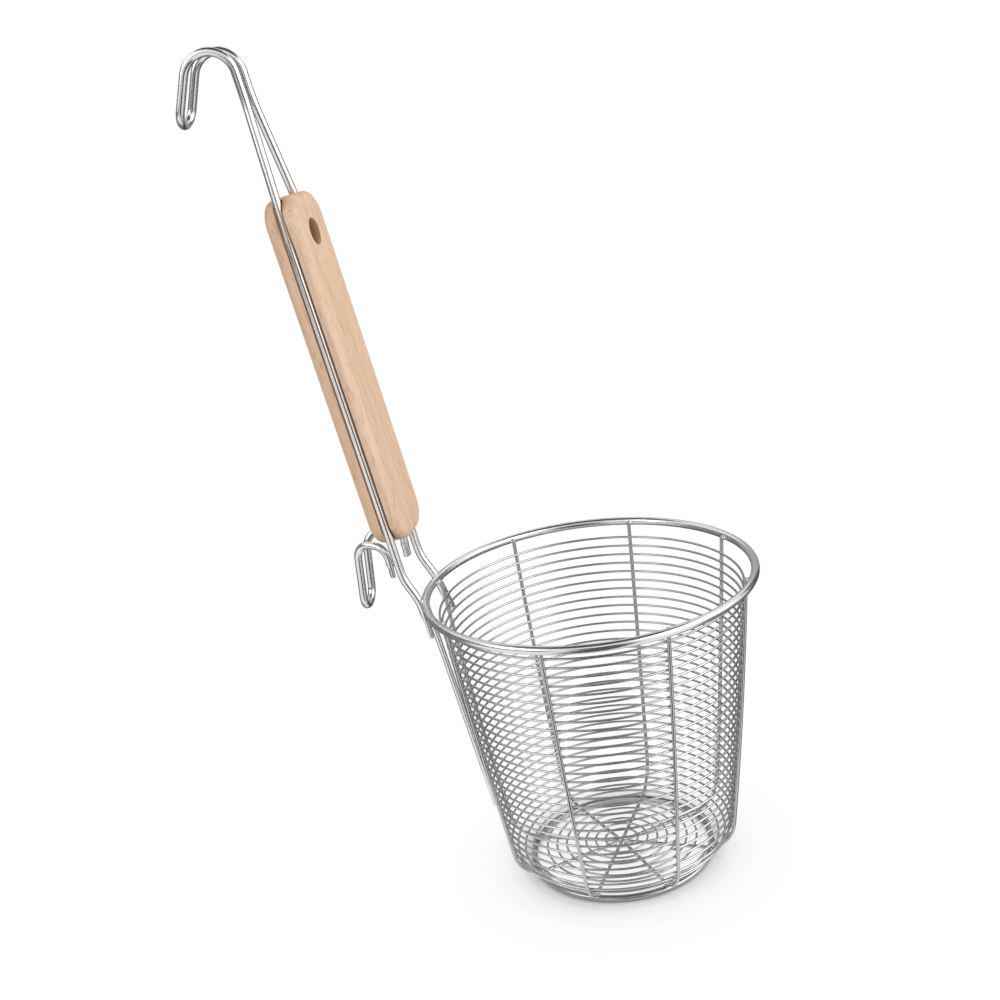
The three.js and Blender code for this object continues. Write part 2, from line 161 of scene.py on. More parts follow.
def swept_round(tree, curve, diameter, sides):
    """Nodes that sweep a round section along a curve and lay a map along and around the wire."""
    along = node(tree, "GeometryNodeSplineParameter").outputs["Length"]
    keep_along = node(tree, "GeometryNodeCaptureAttribute")
    keep_along.capture_items.new("FLOAT", "Along")
    tree.links.new(curve, keep_along.inputs["Geometry"])
    tree.links.new(along, keep_along.inputs["Along"])
    half = result(tree, "ShaderNodeMath", {0: diameter, 1: 0.5}, operation="MULTIPLY")
    section = node(tree, "GeometryNodeCurvePrimitiveCircle", {"Resolution": sides, "Radius": half})
    around = node(tree, "GeometryNodeSplineParameter").outputs["Factor"]
    keep_around = node(tree, "GeometryNodeCaptureAttribute")
    keep_around.capture_items.new("FLOAT", "Around")
    tree.links.new(section.outputs["Curve"], keep_around.inputs["Geometry"])
    tree.links.new(around, keep_around.inputs["Around"])
    share = node(tree, "GeometryNodeInputNamedAttribute", {"Name": "thickness"}, data_type="FLOAT")
    swept = node(tree, "GeometryNodeCurveToMesh", {
        "Curve": keep_along.outputs["Geometry"],
        "Profile Curve": keep_around.outputs["Geometry"],
        "Scale": share.outputs["Attribute"],
        "Fill Caps": True,
    })
    place = node(tree, "ShaderNodeCombineXYZ", {
        "X": keep_along.outputs["Along"],
        "Y": keep_around.outputs["Around"],
    })
    mapped = node(tree, "GeometryNodeStoreNamedAttribute", data_type="FLOAT2", domain="CORNER")
    mapped.inputs["Name"].default_value = "wire_map"
    tree.links.new(swept.outputs["Mesh"], mapped.inputs["Geometry"])
    tree.links.new(place.outputs["Vector"], mapped.inputs["Value"])
    return mapped.outputs["Geometry"]


def close_tree(tree, geometry, material):
    """The end of every tree: instances realized, smooth faces, the material set."""
    real = node(tree, "GeometryNodeRealizeInstances", {"Geometry": geometry})
    smooth = node(tree, "GeometryNodeSetShadeSmooth", {"Geometry": real.outputs["Geometry"]})
    coat = node(tree, "GeometryNodeSetMaterial", {
        "Geometry": smooth.outputs["Geometry"],
        "Material": material,
    })
    node(tree, "NodeGroupOutput", {"Geometry": coat.outputs["Geometry"]})


drawn_wire = geometry_tree("drawn_wire", (
    ("Wire Diameter", "NodeSocketFloat"),
    ("Sides", "NodeSocketInt"),
    ("Finish", "NodeSocketMaterial"),
))
wire_in = node(drawn_wire, "NodeGroupInput").outputs
wire_curve = node(drawn_wire, "GeometryNodeMeshToCurve", {"Mesh": wire_in["Geometry"]}).outputs["Curve"]
wire_tube = swept_round(drawn_wire, wire_curve, wire_in["Wire Diameter"], wire_in["Sides"])
close_tree(drawn_wire, wire_tube, wire_in["Finish"])


def new_object(name, mesh):
    made = bpy.data.objects.new(name, mesh)
    scene.collection.objects.link(made)
    return made


def run_object(name, runs, closed=False):
    """An object whose mesh is the bare centrelines of wires, in metres, with their thickness."""
    places, edges, shares = [], [], []
    for run in runs:
        first = len(places)
        places += [basket_axis + p * MM for p, share in run]
        shares += [share for p, share in run]
        edges += [(k, k + 1) for k in range(first, len(places) - 1)]
        if closed:
            edges.append((len(places) - 1, first))
    mesh = bpy.data.meshes.new(name)
    mesh.from_pydata(places, edges, [])
    mesh.attributes.new("thickness", "FLOAT", "POINT").data.foreach_set("value", shares)
    return new_object(name, mesh)


def plain_mesh(piece, tree, sizes, crease_degrees=50.0):
    """Runs a tree on an object and keeps the result as its plain mesh."""
    modifier = piece.modifiers.new(tree.name, "NODES")
    modifier.node_group = tree
    for socket in tree.interface.items_tree:
        if socket.in_out == "INPUT" and socket.name in sizes:
            modifier[socket.identifier] = sizes[socket.name]
    graph = bpy.context.evaluated_depsgraph_get()
    made = bpy.data.meshes.new_from_object(piece.evaluated_get(graph))
    bare = piece.data
    piece.modifiers.clear()
    piece.data = made
    bpy.data.meshes.remove(bare)
    made.name = piece.name
    made.set_sharp_from_angle(angle=math.radians(crease_degrees))
    return piece


def sweep_wire(piece, wire, sides, finish):
    """Draws round wire along an object's bare centrelines."""
    plain_mesh(piece, drawn_wire, {"Wire Diameter": wire * MM, "Sides": sides, "Finish": finish})


def fit(piece, nodes=()):
    """The piece moves with the strainer and stands for its nodes, whose solids it hides."""
    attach(piece, "root")
    if nodes:
        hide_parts(*nodes)


# Drawing marks: fine lines along the wire left by the die that it was pulled through.
MARKS_PER_METRE = 55.0
MARK_BUMP, MARK_DEPTH = 0.10, 0.00008
CLOUDS_PER_METRE = 70.0
drawing_marks = bpy.data.node_groups.new("drawing_marks", "ShaderNodeTree")
for label, kind in (
    ("Map", "NodeSocketVector"),
    ("Lines Around", "NodeSocketFloat"),
    ("Marks per Metre", "NodeSocketFloat"),
):
    drawing_marks.interface.new_socket(label, in_out="INPUT", socket_type=kind)
drawing_marks.interface.new_socket("Marks", in_out="OUTPUT", socket_type="NodeSocketFloat")
marks_in = node(drawing_marks, "NodeGroupInput").outputs
marks_scale = result(drawing_marks, "ShaderNodeCombineXYZ", {
    "X": marks_in["Marks per Metre"],
    "Y": marks_in["Lines Around"],
})
marks_place = result(drawing_marks, "ShaderNodeVectorMath", {0: marks_in["Map"], 1: marks_scale},
                     operation="MULTIPLY")
marks_noise = node(drawing_marks, "ShaderNodeTexNoise", {
    "Vector": marks_place,
    "Scale": 1.0,
    "Detail": 3.0,
}, noise_dimensions="2D")
node(drawing_marks, "NodeGroupOutput", {"Marks": marks_noise.outputs["Fac"]})


def steel_finish(name, dull, bright, smooth_roughness, rough_roughness, lines_around):
    """Bright drawn stainless wire: two close tones of grey and fine lines along the wire."""
    material = bpy.data.materials.new(name)
    material.use_nodes = True
    tree = material.node_tree
    shader = tree.nodes["Principled BSDF"]
    shader.inputs["Metallic"].default_value = 1.0
    wire_map = node(tree, "ShaderNodeUVMap", uv_map="wire_map").outputs["UV"]
    marks = node(tree, "ShaderNodeGroup", node_tree=drawing_marks)
    marks.inputs["Lines Around"].default_value = lines_around
    marks.inputs["Marks per Metre"].default_value = MARKS_PER_METRE
    tree.links.new(wire_map, marks.inputs["Map"])
    place = node(tree, "ShaderNodeTexCoord").outputs["Object"]
    cloud = node(tree, "ShaderNodeTexNoise", {"Vector": place, "Scale": CLOUDS_PER_METRE, "Detail": 2.0})
    tone = node(tree, "ShaderNodeMix", {0: cloud.outputs["Fac"], 6: dull, 7: bright}, data_type="RGBA")
    tree.links.new(tone.outputs[2], shader.inputs["Base Color"])
    rough = node(tree, "ShaderNodeMapRange", {
        "Value": marks.outputs["Marks"],
        "From Min": 0.3,
        "From Max": 0.7,
        "To Min": smooth_roughness,
        "To Max": rough_roughness,
    })
    tree.links.new(rough.outputs["Result"], shader.inputs["Roughness"])
    bump = node(tree, "ShaderNodeBump", {
        "Strength": MARK_BUMP,
        "Distance": MARK_DEPTH,
        "Height": marks.outputs["Marks"],
    })
    tree.links.new(bump.outputs["Normal"], shader.inputs["Normal"])
    return material


# The basket's wire is the same stainless as the frame's. Its darker tones are painted shade, standing in
# for the dark that its thin wires reflect.
basket_steel_painted_dark = steel_finish(
    "basket_wire_painted_dark", dull=(0.47, 0.47, 0.467, 1), bright=(0.58, 0.58, 0.576, 1),
    smooth_roughness=0.14, rough_roughness=0.26, lines_around=9.0)


def rib_corners(start):
    corners = [(Vector((start, 0, spoke_height)), 0), (Vector((heel_corner, 0, spoke_height)), HEEL_BEND)]
    for k in range(RIB_WALL_SPANS + 1):
        height = HEEL_HEIGHT + (RIM_HEIGHT + RIB_TIP_ABOVE_RIM - HEEL_HEIGHT) * k / RIB_WALL_SPANS
        corners.append((Vector((rib_radius(min(height, RIM_HEIGHT)), 0, height)), 0))
    return corners


def about_axis(degrees):
    return Matrix.Rotation(math.radians(degrees), 3, "Z")


def turned(points, degrees):
    return [about_axis(degrees) @ p for p in points]


through_side = rib_corners(0.0)[1:]
through_back = [(Vector((-p.x, 0, p.z)), bend) for p, bend in reversed(through_side)]
rib_runs = [turned(bent_run(through_back + through_side), THROUGH_RIB_ANGLE)]
for angle in SINGLE_RIB_ANGLES:
    square = abs(math.cos(math.radians(angle - THROUGH_RIB_ANGLE))) < SQUARE_WITHIN
    start = SQUARE_RIBS_START if square else OTHER_RIBS_START
    rib_runs.append(turned(bent_run(rib_corners(start)), angle))
ribs = run_object("basket_ribs", [cropped(evenly(run, RIB_POINT_STEP), RIB_WIRE) for run in rib_runs])
sweep_wire(ribs, RIB_WIRE, RIB_SIDES, basket_steel_painted_dark)
fit(ribs, ["rib_through"] + [f"rib_{k + 1}" for k in range(len(SINGLE_RIB_ANGLES))])

# Wall rings: closed hoops of thin stainless wire, one above the other inside the ribs from just
# under the rim down the wall and round the heel, each spot-welded to every rib.
RING_WIRE = 1.0
RING_SIDES = 10
WALL_RING_STEPS = 144
TOP_RING_BELOW_RIM = 6.3
WALL_RING_PITCH = 4.16
RIB_LINE_BEND_STEP = 2.0
wall_rings = sorted(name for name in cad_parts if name.startswith("wall_ring"))
ring_inset = RIB_WIRE / 2 + WELD_GAP + RING_WIRE / 2

hoop_rows = geometry_tree("hoop_rows", (
    ("Hoop Count", "NodeSocketInt"),
    ("First Hoop From Tip", "NodeSocketFloat"),
    ("Pitch", "NodeSocketFloat"),
    ("Inset", "NodeSocketFloat"),
    ("Wire Diameter", "NodeSocketFloat"),
    ("Sides", "NodeSocketInt"),
    ("Steps", "NodeSocketInt"),
    ("Axis", "NodeSocketVector"),
    ("Finish", "NodeSocketMaterial"),
))
hoop_in = node(hoop_rows, "NodeGroupInput").outputs
hoop_line = node(hoop_rows, "GeometryNodeMeshToCurve", {"Mesh": hoop_in["Geometry"]}).outputs["Curve"]
hoop_points = result(hoop_rows, "GeometryNodePoints", {"Count": hoop_in["Hoop Count"]})
hoop_index = result(hoop_rows, "GeometryNodeInputIndex")
hoop_down = result(hoop_rows, "ShaderNodeMath", {
    0: hoop_index,
    1: hoop_in["Pitch"],
    2: hoop_in["First Hoop From Tip"],
}, operation="MULTIPLY_ADD")
hoop_seat = node(hoop_rows, "GeometryNodeSampleCurve", {
    "Curves": hoop_line,
    "Length": hoop_down,
}, mode="LENGTH")
seat_along = node(hoop_rows, "ShaderNodeSeparateXYZ", {0: hoop_seat.outputs["Tangent"]}).outputs
seat_fall = result(hoop_rows, "ShaderNodeMath", {0: seat_along["X"], 1: -1.0}, operation="MULTIPLY")
seat_inward = result(hoop_rows, "ShaderNodeCombineXYZ", {"X": seat_along["Z"], "Z": seat_fall})
seat_shift = result(hoop_rows, "ShaderNodeVectorMath", {0: seat_inward, "Scale": hoop_in["Inset"]},
                    operation="SCALE")
seat_place = result(hoop_rows, "ShaderNodeVectorMath", {0: hoop_seat.outputs["Position"], 1: seat_shift},
                    operation="ADD")
seat_parts = node(hoop_rows, "ShaderNodeSeparateXYZ", {0: seat_place}).outputs
seat_height = result(hoop_rows, "ShaderNodeCombineXYZ", {"Z": seat_parts["Z"]})
seat_centre = result(hoop_rows, "ShaderNodeVectorMath", {0: seat_height, 1: hoop_in["Axis"]},
                     operation="ADD")
hoop_centres = result(hoop_rows, "GeometryNodeSetPosition", {
    "Geometry": hoop_points,
    "Position": seat_centre,
})
unit_hoop = node(hoop_rows, "GeometryNodeCurvePrimitiveCircle", {
    "Resolution": hoop_in["Steps"],
    "Radius": 1.0,
}).outputs["Curve"]
hoop_scale = result(hoop_rows, "ShaderNodeCombineXYZ", {
    "X": seat_parts["X"],
    "Y": seat_parts["X"],
    "Z": 1.0,
})
hoops = result(hoop_rows, "GeometryNodeInstanceOnPoints", {
    "Points": hoop_centres,
    "Instance": unit_hoop,
    "Scale": hoop_scale,
})
hoop_curves = result(hoop_rows, "GeometryNodeRealizeInstances", {"Geometry": hoops})
full_thickness = result(hoop_rows, "GeometryNodeStoreNamedAttribute", {
    "Geometry": hoop_curves,
    "Name": "thickness",
    "Value": 1.0,
}, data_type="FLOAT", domain="POINT")
hoop_tubes = swept_round(hoop_rows, full_thickness, hoop_in["Wire Diameter"], hoop_in["Sides"])
close_tree(hoop_rows, hoop_tubes, hoop_in["Finish"])

rib_line = list(reversed(bent_run(rib_corners(0.0), RIB_LINE_BEND_STEP)))
rib_length = sum((b - a).length for a, b in zip(rib_line, rib_line[1:]))
rim_slope = (rib_top_radius - heel_radius) * (1 - WALL_BELLY) / (RIM_HEIGHT - HEEL_HEIGHT)
top_ring_distance = (TOP_RING_BELOW_RIM + RIB_TIP_ABOVE_RIM) * math.hypot(1, rim_slope)


def ring_rows(name, count, first, pitch, steps, nodes):
    """A row of hoops welded inside the ribs, from a distance down the ribs and a pitch along them."""
    mesh = bpy.data.meshes.new(name)
    mesh.from_pydata([p * MM for p in rib_line], [(k, k + 1) for k in range(len(rib_line) - 1)], [])
    rings = plain_mesh(new_object(name, mesh), hoop_rows, {
        "Hoop Count": count,
        "First Hoop From Tip": first * MM,
        "Pitch": pitch * MM,
        "Inset": ring_inset * MM,
        "Wire Diameter": RING_WIRE * MM,
        "Sides": RING_SIDES,
        "Steps": steps,
        "Axis": basket_axis,
        "Finish": basket_steel_painted_dark,
    })
    fit(rings, nodes)


ring_rows("wall_rings", len(wall_rings), top_ring_distance, WALL_RING_PITCH, WALL_RING_STEPS, wall_rings)

# Floor rings: the same thin wire in flat hoops on top of the spokes, widening from a small eye
# round the crossing to the edge where the heel begins to rise.
FLOOR_RING_FIRST_RADIUS = 7.4
FLOOR_RING_PITCH = 4.4
FLOOR_RING_STEPS = 96
floor_rings = sorted(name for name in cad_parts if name.startswith("floor_ring"))
last_floor_radius = FLOOR_RING_FIRST_RADIUS + (len(floor_rings) - 1) * FLOOR_RING_PITCH
floor_ring_distance = rib_length - last_floor_radius
ring_rows("floor_rings", len(floor_rings), floor_ring_distance, FLOOR_RING_PITCH, FLOOR_RING_STEPS,
          floor_rings)

# Spot welds: where a ring lies on a rib the two are fused under pressure, which leaves a small
# bright nugget squeezed out between the wires.
NUGGET = (1.3, 1.3, 1.3)
BEAD_SEGMENTS, BEAD_RINGS = 8, 6
BEAD_CREASE = 180.0

weld_beads = geometry_tree("weld_beads", (
    ("Bead Length", "NodeSocketFloat"),
    ("Bead Width", "NodeSocketFloat"),
    ("Bead Depth", "NodeSocketFloat"),
    ("Finish", "NodeSocketMaterial"),
))
bead_in = node(weld_beads, "NodeGroupInput").outputs
bead_ball = node(weld_beads, "GeometryNodeMeshUVSphere", {
    "Segments": BEAD_SEGMENTS,
    "Rings": BEAD_RINGS,
    "Radius": 0.5,
}).outputs["Mesh"]
bead_scale = result(weld_beads, "ShaderNodeCombineXYZ", {
    "X": bead_in["Bead Length"],
    "Y": bead_in["Bead Width"],
    "Z": bead_in["Bead Depth"],
})
bead_lie = node(weld_beads, "GeometryNodeInputNamedAttribute", {"Name": "lie"},
                data_type="FLOAT_VECTOR").outputs["Attribute"]
bead_turn = node(weld_beads, "FunctionNodeEulerToRotation", {"Euler": bead_lie}).outputs["Rotation"]
beads = result(weld_beads, "GeometryNodeInstanceOnPoints", {
    "Points": bead_in["Geometry"],
    "Instance": bead_ball,
    "Rotation": bead_turn,
    "Scale": bead_scale,
})
close_tree(weld_beads, beads, bead_in["Finish"])


def bead_piece(name, seats, size, finish):
    """Weld beads at seats, each a place in millimetres with the directions of its length and width."""
    mesh = bpy.data.meshes.new(name)
    mesh.from_pydata([basket_axis + place * MM for place, length, width in seats], [], [])
    lies = []
    for place, length, width in seats:
        depth = length.cross(width).normalized()
        axes = Matrix((length.normalized(), depth.cross(length).normalized(), depth)).transposed()
        lies += list(axes.to_euler())
    mesh.attributes.new("lie", "FLOAT_VECTOR", "POINT").data.foreach_set("vector", lies)
    sizes = {
        "Bead Length": size[0] * MM,
        "Bead Width": size[1] * MM,
        "Bead Depth": size[2] * MM,
        "Finish": finish,
    }
    fit(plain_mesh(new_object(name, mesh), weld_beads, sizes, BEAD_CREASE))


def rib_place(distance):
    """A place on the rib's centreline by the wire down from its tip, with the way down it."""
    left = distance
    for near, far in zip(rib_line, rib_line[1:]):
        span = (far - near).length
        if left <= span:
            return near.lerp(far, left / span), (far - near).normalized()
        left -= span
    return rib_line[-1], Vector((-1, 0, 0))


rib_angles = sorted(SINGLE_RIB_ANGLES + (THROUGH_RIB_ANGLE, THROUGH_RIB_ANGLE + 180))
ring_distances = [top_ring_distance + k * WALL_RING_PITCH for k in range(len(wall_rings))]
ring_distances += [floor_ring_distance + k * FLOOR_RING_PITCH for k in range(len(floor_rings))]
nugget_seats = []
for angle in rib_angles:
    spin = about_axis(angle)
    for distance in ring_distances:
        place, down = rib_place(distance)
        inward = Vector((down.z, 0, -down.x))
        seat = place + inward * (RIB_WIRE / 2 + WELD_GAP / 2)
        nugget_seats.append((spin @ seat, spin @ Vector((0, 1, 0)), spin @ down))
bead_piece("ring_welds", nugget_seats, NUGGET, basket_steel_painted_dark)

# Rim: the heaviest hoop, stainless wire rolled to a circle and butt-welded, laid round the
# outside of the rib tips and welded to each of them.
RIM_STEPS = 240
RIM_SIDES = 20
RIM_BEAD = (2.8, 2.4, 2.2)
RIM_BEAD_BELOW_CENTRE = 0.2
frame_steel = steel_finish(
    "bright_frame_wire", dull=(0.72, 0.72, 0.715, 1), bright=(0.82, 0.82, 0.815, 1),
    smooth_roughness=0.18, rough_roughness=0.26, lines_around=14.0)


def hoop_run(diameter, height, steps):
    return [(Vector((diameter / 2 * math.cos(a), diameter / 2 * math.sin(a), height)), 1.0)
            for a in (2 * math.pi * k / steps for k in range(steps))]


rim = run_object("rim_hoop", [hoop_run(RIM_DIAMETER, RIM_HEIGHT, RIM_STEPS)], closed=True)
sweep_wire(rim, RIM_WIRE, RIM_SIDES, frame_steel)
fit(rim, ["rim_ring"])
rim_seats = []
for angle in rib_angles:
    spin = about_axis(angle)
    seat = Vector((RIM_DIAMETER / 2 - RIM_WIRE / 2 - WELD_GAP / 2, 0, RIM_HEIGHT - RIM_BEAD_BELOW_CENTRE))
    rim_seats.append((spin @ seat, spin @ Vector((0, 1, 0)), Vector((0, 0, 1))))
bead_piece("rim_welds", rim_seats, RIM_BEAD, frame_steel)

# Foot: a smaller hoop of the same stainless wire under the spokes, which keeps the floor of the basket off
# the worktop. Its darker tone is painted shade, for the shadow it lies in and the dark it reflects. The
# spokes rest on it and are welded there.
FOOT_STEPS = 160
FOOT_SIDES = 18
FOOT_BEAD = (2.2, 2.6, 1.6)
foot = run_object("foot_hoop", [hoop_run(FOOT_DIAMETER, FOOT_WIRE / 2, FOOT_STEPS)], closed=True)
# Darker tones than the frame's steel: painted shade on the foot ring.
foot_steel_painted_shade = steel_finish(
    "foot_wire_painted_shade", dull=(0.36, 0.36, 0.357, 1), bright=(0.46, 0.46, 0.456, 1),
    smooth_roughness=0.2, rough_roughness=0.3, lines_around=12.0)
sweep_wire(foot, FOOT_WIRE, FOOT_SIDES, foot_steel_painted_shade)
fit(foot, ["foot_ring"])
foot_seats = []
for angle in rib_angles:
    spin = about_axis(angle)
    seat = Vector((FOOT_DIAMETER / 2, 0, FOOT_WIRE + WELD_GAP / 2))
    foot_seats.append((spin @ seat, spin @ Vector((0, 1, 0)), spin @ Vector((1, 0, 0))))
bead_piece("foot_welds", foot_seats, FOOT_BEAD, foot_steel_painted_shade)

# Stay: a stout stainless wire up the outside of the wall beside the grip. It lies on the rings low
# down, is welded to them there, and leaves the wall higher up to end under the rim.
STAY_WIRE = 2.6
STAY_SIDES = 16
STAY_ANGLE = 187.0
STAY_TOP_PAST_RIM = 1.0
STAY_MEETS_WALL = 45.0
STAY_LOW_END = 28.0
STAY_BEAD = (2.8, 2.8, 1.6)
STAY_BEAD_ABOVE_TOP = 0.4
STAY_WALL_SPANS = 8
STAY_POINT_STEP = 3.0


def stay_place(height):
    return Vector((rib_radius(height) + (STAY_WIRE - RIB_WIRE) / 2, 0, height))


stay_top = Vector((RIM_DIAMETER / 2 + STAY_TOP_PAST_RIM, 0, RIM_HEIGHT - RIM_WIRE / 2 - 2 * WELD_GAP))
stay_points = [stay_place(STAY_LOW_END + (STAY_MEETS_WALL - STAY_LOW_END) * k / STAY_WALL_SPANS)
               for k in range(STAY_WALL_SPANS + 1)]
stay_points = turned(stay_points + [stay_top], STAY_ANGLE)
stay = run_object("side_stay_wire", [cropped(evenly(stay_points, STAY_POINT_STEP), STAY_WIRE)])
sweep_wire(stay, STAY_WIRE, STAY_SIDES, frame_steel)
fit(stay, ["side_stay"])
stay_spin = about_axis(STAY_ANGLE)
top_seat = stay_top + Vector((0, 0, STAY_BEAD_ABOVE_TOP))
stay_seats = [(stay_spin @ top_seat, stay_spin @ Vector((0, 1, 0)), stay_spin @ Vector((1, 0, 0)))]
for distance in ring_distances:
    place, down = rib_place(distance)
    if STAY_LOW_END < place.z < STAY_MEETS_WALL:
        seat = place + Vector((down.z, 0, -down.x)) * (RIB_WIRE / 2 + WELD_GAP / 2)
        stay_seats.append((stay_spin @ seat, stay_spin @ Vector((0, 1, 0)), stay_spin @ down))
bead_piece("stay_welds", stay_seats, STAY_BEAD, frame_steel)

# Frame wire: one length of heavy stainless wire. Its two ends are pressed flat and welded to the rim
# and the wall under it as rods, which bend out and up, run along the grip's narrow sides and draw
# together above it, where the wire turns over into the hanging hook.
FRAME_WIRE = 3.6
FRAME_SIDES = 24
GRIP_WIDTH = 33.0
GRIP_LENGTH = 149.3
GRIP_LEAN = 9.0
GRIP_SETBACK = 9.4
GRIP_RISE = 25.7
ROD_SUNK = 0.2
ROD_FORWARD_LOW, ROD_FORWARD_HIGH = 0.3, 0.5
ROD_END_BELOW_RIM = 17.0
NEAR_ROD_OFF_WALL = 4.4
FAR_ROD_OFF_WALL = 1.7
ROD_OUTSIDE_RIM = 2.4
ROD_HIGH_BEND_BELOW_GRIP = 15.5
ROD_BEND = 24.0
STRANDS_CONVERGE_BELOW_TOP = 22.0
STRANDS_PARALLEL_ABOVE_TOP = 39.0
STRAND_BEND = 60.0
HANGER_NECK_HALF_WIDTH = 4.0
HANGER_NECK_BACK = 1.6
HANGER_PEAK_HALF_WIDTH = 4.6
HANGER_TIP_HALF_WIDTH = 6.0
HANGER_ARCH_ABOVE_TOP = 50.2
HANGER_ARCH_RADIUS = 10.8
HANGER_TURN = math.radians(153.0)
HANGER_TAIL = 19.6
ROD_TAB_LENGTH = 8.0
ROD_TAB_THIN, ROD_TAB_WIDE = 0.56, 1.28
ROD_KNUCKLE = 1.0
TAB_FADE = 0.45
TAB_SQUARENESS = 0.45
KNUCKLE_FROM_TIP = 1.3
KNUCKLE_LENGTH = 0.8
TIP_SLACK = 0.1
LOOP_ROUNDING = 0.98
FRAME_POINT_STEP = 1.5

grip_place = Matrix.Translation((-(RIM_DIAMETER / 2 + GRIP_SETBACK), 0, RIM_HEIGHT + GRIP_RISE))
grip_place = grip_place @ Matrix.Rotation(-math.radians(GRIP_LEAN), 4, "Y")
rod_half = GRIP_WIDTH / 2 - FRAME_WIRE / 2 - ROD_SUNK


def on_grip(x, y, z):
    """A place given in the grip's own axes: +Z up its length from its lower end, +X to the basket."""
    return grip_place @ Vector((x, y, z))


def beside_basket(radius, height):
    return Vector((-math.sqrt(radius**2 - rod_half**2), -rod_half, height))


def both_sides(corners):
    return corners + [(Vector((p.x, -p.y, p.z)), bend) for p, bend in reversed(corners)]


rod_end_height = RIM_HEIGHT - ROD_END_BELOW_RIM
near_rod_end = beside_basket(rib_radius(rod_end_height) + NEAR_ROD_OFF_WALL, rod_end_height)
far_rod_end = beside_basket(rib_radius(rod_end_height) + FAR_ROD_OFF_WALL, rod_end_height)
far_rod_end.y = rod_half
rod_low_bend = beside_basket(RIM_DIAMETER / 2 + ROD_OUTSIDE_RIM, RIM_HEIGHT)
hanger_reach = HANGER_ARCH_RADIUS * math.tan(HANGER_TURN / 2)
hanger_peak = GRIP_LENGTH + HANGER_ARCH_ABOVE_TOP + hanger_reach
tail = hanger_reach + HANGER_TAIL
converge_at = GRIP_LENGTH - STRANDS_CONVERGE_BELOW_TOP
parallel_at = GRIP_LENGTH + STRANDS_PARALLEL_ABOVE_TOP
frame_half = [
    (near_rod_end, 0),
    (rod_low_bend, ROD_BEND),
    (on_grip(ROD_FORWARD_LOW, -rod_half, -ROD_HIGH_BEND_BELOW_GRIP), ROD_BEND),
    (on_grip(ROD_FORWARD_HIGH, -rod_half, converge_at), STRAND_BEND),
    (on_grip(-HANGER_NECK_BACK, -HANGER_NECK_HALF_WIDTH, parallel_at), STRAND_BEND),
    (on_grip(-HANGER_NECK_BACK, -HANGER_PEAK_HALF_WIDTH, hanger_peak), HANGER_ARCH_RADIUS),
    (on_grip(-HANGER_NECK_BACK - tail * math.sin(HANGER_TURN), -HANGER_TIP_HALF_WIDTH,
             hanger_peak + tail * math.cos(HANGER_TURN)), LOOP_ROUNDING * HANGER_TIP_HALF_WIDTH),
]
frame_corners = both_sides(frame_half)[:-1] + [(far_rod_end, 0)]
frame_run = cropped(evenly(bent_run(frame_corners), FRAME_POINT_STEP), FRAME_WIRE)
frame_wire = run_object("frame_wire_bent", [frame_run])
sweep_wire(frame_wire, FRAME_WIRE, FRAME_SIDES, frame_steel)


def press_flat(piece, tip, toward, thin_way, length, wire, thin, wide, knuckle):
    """Squeezes a wire's end between flat jaws: thin one way, wide the other, with a knuckle above."""
    up_wire = (toward - tip).normalized()
    thin_way = (thin_way - up_wire * thin_way.dot(up_wire)).normalized()
    wide_way = up_wire.cross(thin_way)
    reach = (1 + TAB_FADE) * length
    for vertex in piece.data.vertices:
        from_tip = (vertex.co - basket_axis) / MM - tip
        back = from_tip.dot(up_wire)
        if not -TIP_SLACK < back < reach or (from_tip - up_wire * back).length > wire:
            continue
        share = min(1.0, (reach - back) / (TAB_FADE * length))
        share *= share * (3 - 2 * share)
        swell = 1 + (knuckle - 1) * math.exp(-((back - KNUCKLE_FROM_TIP * length) / KNUCKLE_LENGTH) ** 2)
        pressed = up_wire * back
        for way, scale in ((thin_way, thin), (wide_way, wide)):
            off = from_tip.dot(way) / (wire / 2)
            flat = math.copysign(abs(off) ** (1 - TAB_SQUARENESS * share), off)
            pressed = pressed + way * flat * wire / 2 * (1 + (scale - 1) * share) * swell
        vertex.co = basket_axis + (tip + pressed) * MM


def wire_ends(corners):
    """Each end of a bent wire, with the corner that it comes from."""
    return ((corners[0][0], corners[1][0]), (corners[-1][0], corners[-2][0]))


for rod_tip, rod_next in wire_ends(frame_corners):
    press_flat(frame_wire, rod_tip, rod_next, Vector((rod_tip.x, rod_tip.y, 0)), ROD_TAB_LENGTH,
               FRAME_WIRE, ROD_TAB_THIN, ROD_TAB_WIDE, ROD_KNUCKLE)
fit(frame_wire, ["frame_wire"])

# Pot hook: a shorter bent wire. Its legs are pressed flat and welded behind the two rods under
# the grip, its arch runs out over the pot's edge and its loop hangs down outside the pot.
POT_HOOK_WIRE = 3.4
POT_HOOK_SIDES = 20
POT_HOOK_INSET = 2.0
POT_HOOK_LEG = 14.2
POT_HOOK_LEG_FLARE = 1.2
POT_HOOK_ARCH_RISE = 0.9
POT_HOOK_ARCH_TILT = 1.2
POT_HOOK_ARCH_RADIUS = 6.8
POT_HOOK_REACH = 14.6
POT_HOOK_SPREAD = 6.3
POT_HOOK_DROP = 27.8
POT_HOOK_SHOULDER_HALF_WIDTH = 6.9
POT_HOOK_TIP_HALF_WIDTH = 6.3
LEG_TAB_LENGTH = 4.5
LEG_TAB_THIN, LEG_TAB_WIDE = 0.6, 1.05
LEG_KNUCKLE = 1.15
LEG_JAWS = (0.85, 0.52)
POT_HOOK_BEND_STEP = 5.0
POT_HOOK_POINT_STEP = 1.0

